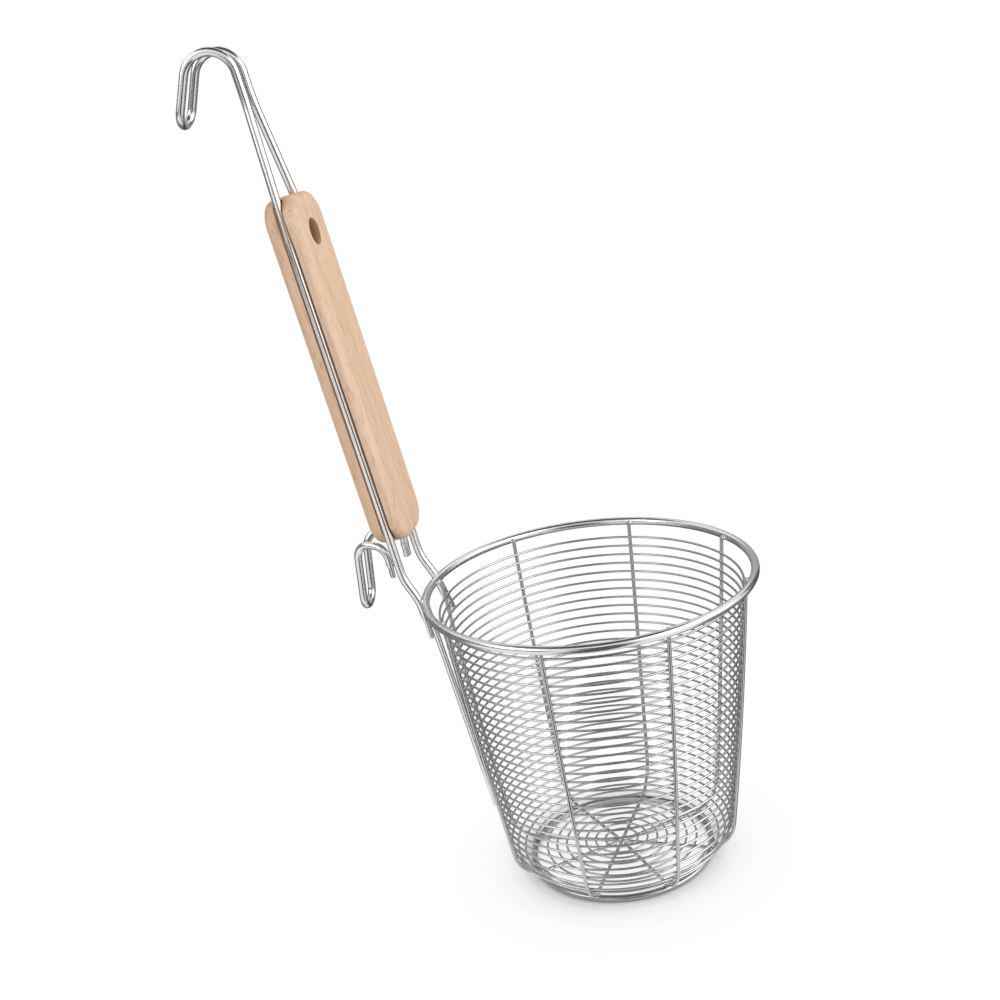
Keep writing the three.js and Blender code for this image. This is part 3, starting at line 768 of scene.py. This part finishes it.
leg_spacing = (FRAME_WIRE + POT_HOOK_WIRE) / 2 + WELD_GAP
leg_x = -math.sqrt(leg_spacing**2 - POT_HOOK_INSET**2)
leg_y = -(rod_half - POT_HOOK_INSET)
shoulder_x = leg_x - POT_HOOK_REACH
pot_hook_half = [
    (on_grip(leg_x - POT_HOOK_LEG_FLARE, leg_y, -POT_HOOK_LEG), 0),
    (on_grip(leg_x, leg_y, POT_HOOK_ARCH_RISE - POT_HOOK_ARCH_TILT), POT_HOOK_ARCH_RADIUS),
    (on_grip(shoulder_x, -POT_HOOK_SHOULDER_HALF_WIDTH, POT_HOOK_ARCH_RISE + POT_HOOK_ARCH_TILT),
     POT_HOOK_ARCH_RADIUS),
    (on_grip(shoulder_x - POT_HOOK_SPREAD, -POT_HOOK_TIP_HALF_WIDTH, -POT_HOOK_DROP),
     LOOP_ROUNDING * POT_HOOK_TIP_HALF_WIDTH),
]
pot_hook_corners = both_sides(pot_hook_half)
pot_hook_run = evenly(bent_run(pot_hook_corners, POT_HOOK_BEND_STEP), POT_HOOK_POINT_STEP)
pot_hook = run_object("pot_hook_bent", [cropped(pot_hook_run, POT_HOOK_WIRE)])
sweep_wire(pot_hook, POT_HOOK_WIRE, POT_HOOK_SIDES, frame_steel)
for leg_tip, leg_next in wire_ends(pot_hook_corners):
    jaws_way = Vector((LEG_JAWS[0], -math.copysign(LEG_JAWS[1], leg_tip.y), 0))
    press_flat(pot_hook, leg_tip, leg_next, jaws_way, LEG_TAB_LENGTH,
               POT_HOOK_WIRE, LEG_TAB_THIN, LEG_TAB_WIDE, LEG_KNUCKLE)
fit(pot_hook, ["pot_hook"])

# Grip: a flat board of light close-grained hardwood, sanded and unvarnished, with round corners
# and edges, a hole to hang it by and a groove down its near narrow side that a rod springs into.
GRIP_THICKNESS = 14.2
GRIP_FORWARD = 0.4
GRIP_CORNER = 11.0
GRIP_EDGE = 3.0
HANG_HOLE_DIAMETER = 11.0
HANG_HOLE_FROM_TOP = 16.5
HOLE_EDGE = 0.5
GROOVE_CLEARANCE = 0.35
GROOVE_FORWARD = 0.3
GROOVE_EDGE = 0.35
CORNER_STEPS = 14
EDGE_STEPS = 8
HOLE_STEPS = 64
HOLE_STRAIGHT_HALF = 3.5
HOLE_CUT_PAST, HOLE_CUT_FLARE = 2.0, 1.2
GROOVE_STEPS = 12
GROOVE_CUT_PAST = 4.0
GROOVE_BEND_STEP = 1.0
GROOVE_POINT_STEP = 3.0
GRIP_CREASE = 38.0


def solid_mesh(name, rows):
    """A closed body from rows of points, each row joined to the next and the first and last capped."""
    count = len(rows[0])
    places = [p * MM for row in rows for p in row]
    faces = [tuple(reversed(range(count)))]
    for r in range(len(rows) - 1):
        a, b = r * count, (r + 1) * count
        faces += [(a + k, a + (k + 1) % count, b + (k + 1) % count, b + k) for k in range(count)]
    last = (len(rows) - 1) * count
    faces.append(tuple(range(last, last + count)))
    mesh = bpy.data.meshes.new(name)
    mesh.from_pydata(places, [], faces)
    mesh.validate()
    return mesh


def board_row(x, drawn_in):
    """The grip's outline in one plane across its thickness, drawn in by the round of its edge."""
    half = GRIP_WIDTH / 2 - drawn_in
    corner = GRIP_CORNER - drawn_in
    low, high = drawn_in, GRIP_LENGTH - drawn_in
    row = []
    for quarter, (y, z) in enumerate(((half - corner, high - corner), (corner - half, high - corner),
                                      (corner - half, low + corner), (half - corner, low + corner))):
        for k in range(CORNER_STEPS + 1):
            a = math.pi / 2 * (quarter + k / CORNER_STEPS)
            row.append(Vector((x, y + corner * math.cos(a), z + corner * math.sin(a))))
    return row


half_thick = GRIP_THICKNESS / 2
edge_arc = [math.pi / 2 * k / EDGE_STEPS for k in range(EDGE_STEPS + 1)]
board_rows = [board_row(GRIP_FORWARD - half_thick + GRIP_EDGE * (1 - math.sin(a)),
                        GRIP_EDGE * (1 - math.cos(a))) for a in reversed(edge_arc)]
board_rows += [board_row(GRIP_FORWARD + half_thick - GRIP_EDGE * (1 - math.sin(a)),
                         GRIP_EDGE * (1 - math.cos(a))) for a in edge_arc]
board = new_object("grip_board", solid_mesh("grip_board", board_rows))

hole_radius = HANG_HOLE_DIAMETER / 2
hole_z = GRIP_LENGTH - HANG_HOLE_FROM_TOP
hole_rows = []
hole_profile = [(-half_thick - HOLE_CUT_PAST, hole_radius + HOLE_CUT_FLARE)]
hole_profile += [(-half_thick + HOLE_EDGE * (1 - math.cos(a)), hole_radius + HOLE_EDGE * (1 - math.sin(a)))
                 for a in edge_arc]
hole_profile += [(-HOLE_STRAIGHT_HALF, hole_radius), (0.0, hole_radius)]
hole_profile += [(-x, radius) for x, radius in reversed(hole_profile[:-1])]
for x, radius in hole_profile:
    hole_rows.append([Vector((x + GRIP_FORWARD, radius * math.cos(a), hole_z + radius * math.sin(a)))
                      for a in (2 * math.pi * k / HOLE_STEPS for k in range(HOLE_STEPS))])
cutters = [new_object("hole_cutter", solid_mesh("hole_cutter", hole_rows))]

groove_radius = FRAME_WIRE / 2 + GROOVE_CLEARANCE
inverse_place = grip_place.inverted()
groove_bend = bent_run(frame_half[2:5], GROOVE_BEND_STEP)
groove_line = evenly([inverse_place @ p for p in groove_bend], GROOVE_POINT_STEP)
groove_arc = [math.pi * k / GROOVE_STEPS for k in range(GROOVE_STEPS + 1)]
# Known fault: the far cutter, at side 1, is the near one mirrored with its points in the same order,
# so its faces point inwards. The far groove isn't cut, and the far rod lies inside the wood.
for side in (-1, 1):
    rows = []
    for p in groove_line:
        depth = abs(p.y)
        outline = [(groove_radius * math.cos(a), depth - groove_radius * math.sin(a)) for a in groove_arc]
        lip = [(-groove_radius - GROOVE_EDGE * (1 - math.cos(a)),
                GRIP_WIDTH / 2 - GROOVE_EDGE * (1 - math.sin(a))) for a in edge_arc]
        lip.append((-groove_radius - 2 * GROOVE_EDGE, GRIP_WIDTH / 2 + GROOVE_CUT_PAST))
        outline += lip + [(-x, y) for x, y in reversed(lip)]
        rows.append([Vector((x + p.x + GROOVE_FORWARD, side * y, p.z)) for x, y in outline])
    cutters.append(new_object("groove_cutter", solid_mesh("groove_cutter", rows)))
for cutter in cutters:
    cut = board.modifiers.new(cutter.name, "BOOLEAN")
    cut.operation = "DIFFERENCE"
    cut.solver = "EXACT"
    cut.object = cutter
graph = bpy.context.evaluated_depsgraph_get()
cut_mesh = bpy.data.meshes.new_from_object(board.evaluated_get(graph))
board.modifiers.clear()
board.data = cut_mesh
for cutter in cutters:
    bpy.data.objects.remove(cutter)

# Cut faces: how far each place on the grip is end grain, which the wood's colour follows because sawn
# faces are darker than planed ones, and how much painted shade it takes: in the bore a darker tone for the
# bored wood that deepens as painted shade further into the board, and on the groove's front wall, where
# the rod and the lip shade it.
END_GRAIN_REACH = 8.0
GROOVE_MOUTH = 0.6
GROOVE_SLACK, GROOVE_REACH = 0.5, 4.0
BORE_SLACK, GROOVE_TOUCH = 0.1, 0.01
# Shares of painted shade: in the bore from BORE_SHADE at its lip, deepening over BORE_SHADE_DEPTH, and
# GROOVE_SHADE on the groove's front wall.
BORE_SHADE, BORE_SHADE_DEPTH, GROOVE_SHADE = 0.35, 5.0, 0.8
groove_depth = GRIP_WIDTH / 2 - GROOVE_MOUTH


# Places on the groove's wall in front of the rod, which take painted shade.
def lies_in_groove(x, y, z):
    return abs(y) < groove_depth and any(
        0 < x - p.x < groove_radius + GROOVE_FORWARD + GROOVE_TOUCH
        and abs(abs(y) - abs(p.y)) < groove_radius + GROOVE_SLACK
        and abs(z - p.z) < GROOVE_REACH
        for p in groove_line)


end_grain, painted_cut_shade = [], []
for vertex in cut_mesh.vertices:
    x, y, z = vertex.co / MM
    at_end = not END_GRAIN_REACH < z < GRIP_LENGTH - END_GRAIN_REACH
    end_grain.append(abs(vertex.normal.z) if at_end else 0.0)
    bore_depth = half_thick - abs(x - GRIP_FORWARD)
    in_bore = math.hypot(y, z - hole_z) < hole_radius + BORE_SLACK and bore_depth > HOLE_EDGE / 2
    if in_bore:
        painted_cut_shade.append(min(1.0, BORE_SHADE + bore_depth / BORE_SHADE_DEPTH))
    else:
        painted_cut_shade.append(GROOVE_SHADE if lies_in_groove(x, y, z) else 0.0)
cut_mesh.attributes.new("end_grain", "FLOAT", "POINT").data.foreach_set("value", end_grain)
cut_mesh.attributes.new("painted_cut_shade", "FLOAT", "POINT").data.foreach_set("value", painted_cut_shade)
grip_in_metres = Matrix.Scale(MM, 4) @ grip_place @ Matrix.Scale(1 / MM, 4)
cut_mesh.transform(Matrix.Translation(basket_axis) @ grip_in_metres)
cut_mesh.shade_smooth()
cut_mesh.set_sharp_from_angle(angle=math.radians(GRIP_CREASE))

BAND_DARK, BAND_LIGHT = (0.80, 0.550, 0.372, 1), (0.86, 0.620, 0.448, 1)
STREAK_TINT = (0.87, 0.84, 0.80, 1)
FLECK_TINT = (0.80, 0.73, 0.66, 1)
END_GRAIN_TINT = (0.84, 0.78, 0.72, 1)
# Tint of the painted shade in the bore and on the groove's front wall.
PAINTED_SHADE_TINT = (0.48, 0.36, 0.26, 1)
WOOD_SMOOTH, WOOD_ROUGH = 0.50, 0.64
GRAIN_BUMP, GRAIN_DEPTH = 0.18, 0.00012
wood = bpy.data.materials.new("pale_close_grained_wood")
wood.use_nodes = True
wood_tree = wood.node_tree
wood_shader = wood_tree.nodes["Principled BSDF"]
wood_place = node(wood_tree, "ShaderNodeTexCoord").outputs["Object"]
wood_grain = result(wood_tree, "ShaderNodeMapping", {
    "Vector": wood_place,
    "Rotation": (0, math.radians(GRIP_LEAN), 0),
})


def grain_noise(scale, detail):
    """Noise drawn out along the grain, as a number round one half."""
    place = result(wood_tree, "ShaderNodeMapping", {"Vector": wood_grain, "Scale": scale})
    return node(wood_tree, "ShaderNodeTexNoise", {
        "Vector": place,
        "Scale": 1.0,
        "Detail": detail,
        "Roughness": 0.55,
    }).outputs["Fac"]


def spread(value, low, high):
    """A number stretched so that low becomes 0 and high becomes 1."""
    return result(wood_tree, "ShaderNodeMapRange", {"Value": value, "From Min": low, "From Max": high})


def stained(colour, amount, tint):
    """A colour with a share of it multiplied by a tint."""
    return node(wood_tree, "ShaderNodeMix", {0: amount, 6: colour, 7: tint},
                data_type="RGBA", blend_type="MULTIPLY").outputs[2]


bands = spread(grain_noise((110, 110, 6.0), 2.0), 0.32, 0.68)
streaks = spread(grain_noise((420, 420, 30), 4.0), 0.32, 0.68)
flecks = spread(grain_noise((1300, 1300, 170), 2.0), 0.55, 0.70)
wood_colour = node(wood_tree, "ShaderNodeMix", {0: bands, 6: BAND_DARK, 7: BAND_LIGHT},
                   data_type="RGBA").outputs[2]
wood_colour = stained(wood_colour, streaks, STREAK_TINT)
wood_colour = stained(wood_colour, flecks, FLECK_TINT)
across = node(wood_tree, "ShaderNodeAttribute", attribute_name="end_grain").outputs["Fac"]
wood_colour = stained(wood_colour, across, END_GRAIN_TINT)
# Painted shade in the bore and on the groove's front wall darkens the wood here.
painted_shade = node(wood_tree, "ShaderNodeAttribute", attribute_name="painted_cut_shade").outputs["Fac"]
wood_colour = stained(wood_colour, painted_shade, PAINTED_SHADE_TINT)
wood_tree.links.new(wood_colour, wood_shader.inputs["Base Color"])
wood_rough = result(wood_tree, "ShaderNodeMapRange", {
    "Value": streaks,
    "To Min": WOOD_SMOOTH,
    "To Max": WOOD_ROUGH,
})
wood_tree.links.new(wood_rough, wood_shader.inputs["Roughness"])
wood_bump = node(wood_tree, "ShaderNodeBump", {
    "Strength": GRAIN_BUMP,
    "Distance": GRAIN_DEPTH,
    "Height": streaks,
})
wood_tree.links.new(wood_bump.outputs["Normal"], wood_shader.inputs["Normal"])
board.data.materials.append(wood)
fit(board, ["wood_grip"])

# Studio: a pale floor that keeps the object's soft shadow in a ring round the foot, glows nearly white
# under the basket as painted light that lifts the shadow there, and is plain white further out; a plain
# white room, a large soft lamp on either hand and one overhead.
FLOOR_REACH = 6.0
SHADOW_REACH = 0.20
# Share of plain white glow by distance from the basket's axis, in units of SHADOW_REACH: 0.8 under the
# basket is painted light over its shadow, none at the foot, then rising to all white. SHADOW_LIFT is a
# faint glow laid over the shaded floor, also painted light.
SHADOW_STEPS = (
    (0.0, 0.8), (0.185, 0.8), (0.205, 0.0), (0.222, 0.2),
    (0.24, 0.52), (0.27, 0.78), (0.32, 0.92), (0.42, 1.0),
)
SHADOW_LIFT = 0.06
FLOOR_GREY, FLOOR_SOFT_GREY = 0.80, 0.84
WHITE = (1, 1, 1, 1)
ROOM_LIGHT = 0.46


def stage_piece(name, places, faces, material):
    """A piece of the studio, which is no part of the strainer."""
    mesh = bpy.data.meshes.new(name)
    mesh.from_pydata(places, [], faces)
    mesh.materials.append(material)
    piece = new_object(name, mesh)
    return piece


def bare_material(name):
    material = bpy.data.materials.new(name)
    material.use_nodes = True
    material.node_tree.nodes.clear()
    return material, material.node_tree


def seen_directly(tree):
    """1 for what the camera sees, straight, in metal or through glass, and 0 for other light."""
    path = node(tree, "ShaderNodeLightPath").outputs
    either = result(tree, "ShaderNodeMath", {0: path["Is Camera Ray"], 1: path["Is Glossy Ray"]},
                    operation="MAXIMUM")
    return result(tree, "ShaderNodeMath", {0: either, 1: path["Is Transmission Ray"]}, operation="MAXIMUM")


floor_paint, floor_tree = bare_material("studio_floor_white")
floor_spot = result(floor_tree, "ShaderNodeMapping", {
    "Vector": node(floor_tree, "ShaderNodeTexCoord").outputs["Object"],
    "Location": (-basket_axis.x, 0, 0),
})
floor_away = node(floor_tree, "ShaderNodeVectorMath", {0: floor_spot}, operation="LENGTH").outputs["Value"]
floor_share = result(floor_tree, "ShaderNodeMath", {0: floor_away, 1: SHADOW_REACH}, operation="DIVIDE")
floor_ramp = node(floor_tree, "ShaderNodeValToRGB", {"Fac": floor_share})
floor_ramp.color_ramp.interpolation = "EASE"
ramp_steps = floor_ramp.color_ramp.elements
while len(ramp_steps) < len(SHADOW_STEPS):
    ramp_steps.new(1.0)
for step, (share, white) in zip(ramp_steps, SHADOW_STEPS):
    step.position = share
    step.color = (white, white, white, 1)
floor_fade = floor_ramp.outputs["Color"]
floor_plain = result(floor_tree, "ShaderNodeBsdfDiffuse", {"Color": (FLOOR_GREY,) * 3 + (1,)})
floor_soft = result(floor_tree, "ShaderNodeBsdfDiffuse", {"Color": (FLOOR_SOFT_GREY,) * 3 + (1,)})
floor_lift = result(floor_tree, "ShaderNodeEmission", {"Color": WHITE, "Strength": SHADOW_LIFT})
floor_near = result(floor_tree, "ShaderNodeAddShader", {0: floor_soft, 1: floor_lift})
floor_white = result(floor_tree, "ShaderNodeEmission", {"Color": WHITE, "Strength": 1.0})
floor_seen = result(floor_tree, "ShaderNodeMixShader", {0: floor_fade, 1: floor_near, 2: floor_white})
floor_mix = result(floor_tree, "ShaderNodeMixShader", {
    0: seen_directly(floor_tree),
    1: floor_plain,
    2: floor_seen,
})
node(floor_tree, "ShaderNodeOutputMaterial", {"Surface": floor_mix})
floor_corners = [(x * FLOOR_REACH, y * FLOOR_REACH, 0) for x, y in ((-1, -1), (1, -1), (1, 1), (-1, 1))]
stage_piece("studio_floor", floor_corners, [(0, 1, 2, 3)], floor_paint)

world = bpy.data.worlds.new("studio_room")
scene.world = world
world.use_nodes = True
world_tree = world.node_tree
world_tree.nodes.clear()
room_light = result(world_tree, "ShaderNodeBackground", {"Color": WHITE, "Strength": ROOM_LIGHT})
room_white = result(world_tree, "ShaderNodeBackground", {"Color": WHITE, "Strength": 1.0})
room_mix = result(world_tree, "ShaderNodeMixShader", {
    0: seen_directly(world_tree),
    1: room_light,
    2: room_white,
})
node(world_tree, "ShaderNodeOutputWorld", {"Surface": room_mix})


def soft_lamp(name, place, aim, width, height, power):
    data = bpy.data.lights.new(name, "AREA")
    data.shape = "RECTANGLE"
    data.size = width
    data.size_y = height
    data.energy = power
    lamp = bpy.data.objects.new(name, data)
    scene.collection.objects.link(lamp)
    lamp.location = place
    lamp.rotation_euler = (Vector(aim) - Vector(place)).to_track_quat("-Z", "Y").to_euler()
    return lamp


soft_lamp("left_softbox", place=(-1.1, -1.0, 1.0), aim=(0, 0, 0.15), width=0.9, height=0.9, power=6.5)
soft_lamp("right_softbox", place=(1.4, -0.3, 0.9), aim=(0, 0, 0.15), width=1.6, height=1.4, power=15.5)
top_lamp = soft_lamp("top_softbox", place=(0.0, 0.25, 1.7), aim=(0.02, 0, 0.1),
                     width=1.2, height=1.2, power=6.0)
top_lamp.visible_glossy = False

# Cards: black and grey boards laid round the strainer and stood at the edge of the table, with one
# hung above, as a studio does for bright wire, so that each wire shows its round form. Only
# reflections see them. Each has a name, a tone, its first and last angle, radii and heights.
CARD_REACH = 2.2
CARD_LIFT = 0.002
CARD_SPAN_DEGREES = 6
CEILING_HEIGHT, CEILING_RADIUS = 2.0, 1.3
CEILING_MIDDLE = 0.001
CARDS = (
    ("camera_table_card", "black", (-92, -54), (0.10, CARD_REACH), (0.5,)),
    ("camera_wall_card", "black", (-96, -60), (), (0.5, 1.3)),
    ("right_table_card", "grey", (-12, 36), (0.10, 0.9), ()),
    ("right_back_card", "black", (36, 62), (0.08, CARD_REACH), (1.3,)),
    ("back_table_card", "black", (62, 140), (0.08, 0.6), ()),
    ("back_card", "pale", (62, 140), (0.6, CARD_REACH), (1.3,)),
    ("left_card", "grey", (140, 196), (0.08, CARD_REACH), (1.3,)),
    ("left_far_card", "dim", (196, 251), (1.35, CARD_REACH), (0.85,)),
)


def card_paint(name, tone):
    material, tree = bare_material(name)
    glow = result(tree, "ShaderNodeEmission", {"Color": tone, "Strength": 1.0})
    node(tree, "ShaderNodeOutputMaterial", {"Surface": glow})
    return material


card_paints = {
    "black": card_paint("black_card", (0.080, 0.084, 0.092, 1)),
    "dim": card_paint("dim_card", (0.130, 0.134, 0.142, 1)),
    "grey": card_paint("grey_card", (0.220, 0.224, 0.232, 1)),
    "pale": card_paint("pale_card", (0.400, 0.404, 0.412, 1)),
}


def dark_card(name, paint, rows):
    """A bent board from rows of places, seen by reflections only."""
    count = len(rows[0])
    places = [p for row in rows for p in row]
    faces = [(r * count + k, r * count + k + 1, (r + 1) * count + k + 1, (r + 1) * count + k)
             for r in range(len(rows) - 1) for k in range(count - 1)]
    card = stage_piece(name, places, faces, paint)
    card.visible_camera = card.visible_diffuse = card.visible_transmission = card.visible_shadow = False


def card_arc(radius, height, first, last):
    steps = max(4, round((last - first) / CARD_SPAN_DEGREES))
    angles = [math.radians(first + (last - first) * k / steps) for k in range(steps + 1)]
    return [Vector((radius * math.cos(a), radius * math.sin(a), height)) for a in angles]


for name, tone, (first, last), radii, heights in CARDS:
    laid_out = [card_arc(radius, CARD_LIFT, first, last) for radius in radii]
    stood_up = [card_arc(CARD_REACH, height, first, last) for height in heights]
    dark_card(name, card_paints[tone], laid_out + stood_up)
ceiling = [card_arc(radius, CEILING_HEIGHT, 0, 360) for radius in (CEILING_MIDDLE, CEILING_RADIUS)]
dark_card("ceiling_card", card_paints["black"], ceiling)

# Camera: where the photographer stood, in front of the basket and to its right, about level with
# the hanging hook and looking down, with the camera slightly tilted.
camera_data = bpy.data.cameras.new("camera")
camera_data.sensor_width = 36.0
camera_data.lens = 49.10
camera_data.clip_start = 0.01
camera = bpy.data.objects.new("camera", camera_data)
scene.collection.objects.link(camera)
camera_right = Vector((0.97251, 0.18715, -0.13853))
camera_up = Vector((0.07021, 0.33156, 0.94081))
camera_axes = Matrix((camera_right, camera_up, camera_right.cross(camera_up))).transposed()
camera_place = (0.12904, -0.53175, 0.34872)
camera.matrix_world = Matrix.Translation(camera_place) @ camera_axes.to_4x4()
scene.camera = camera
scene.view_settings.view_transform = "Standard"
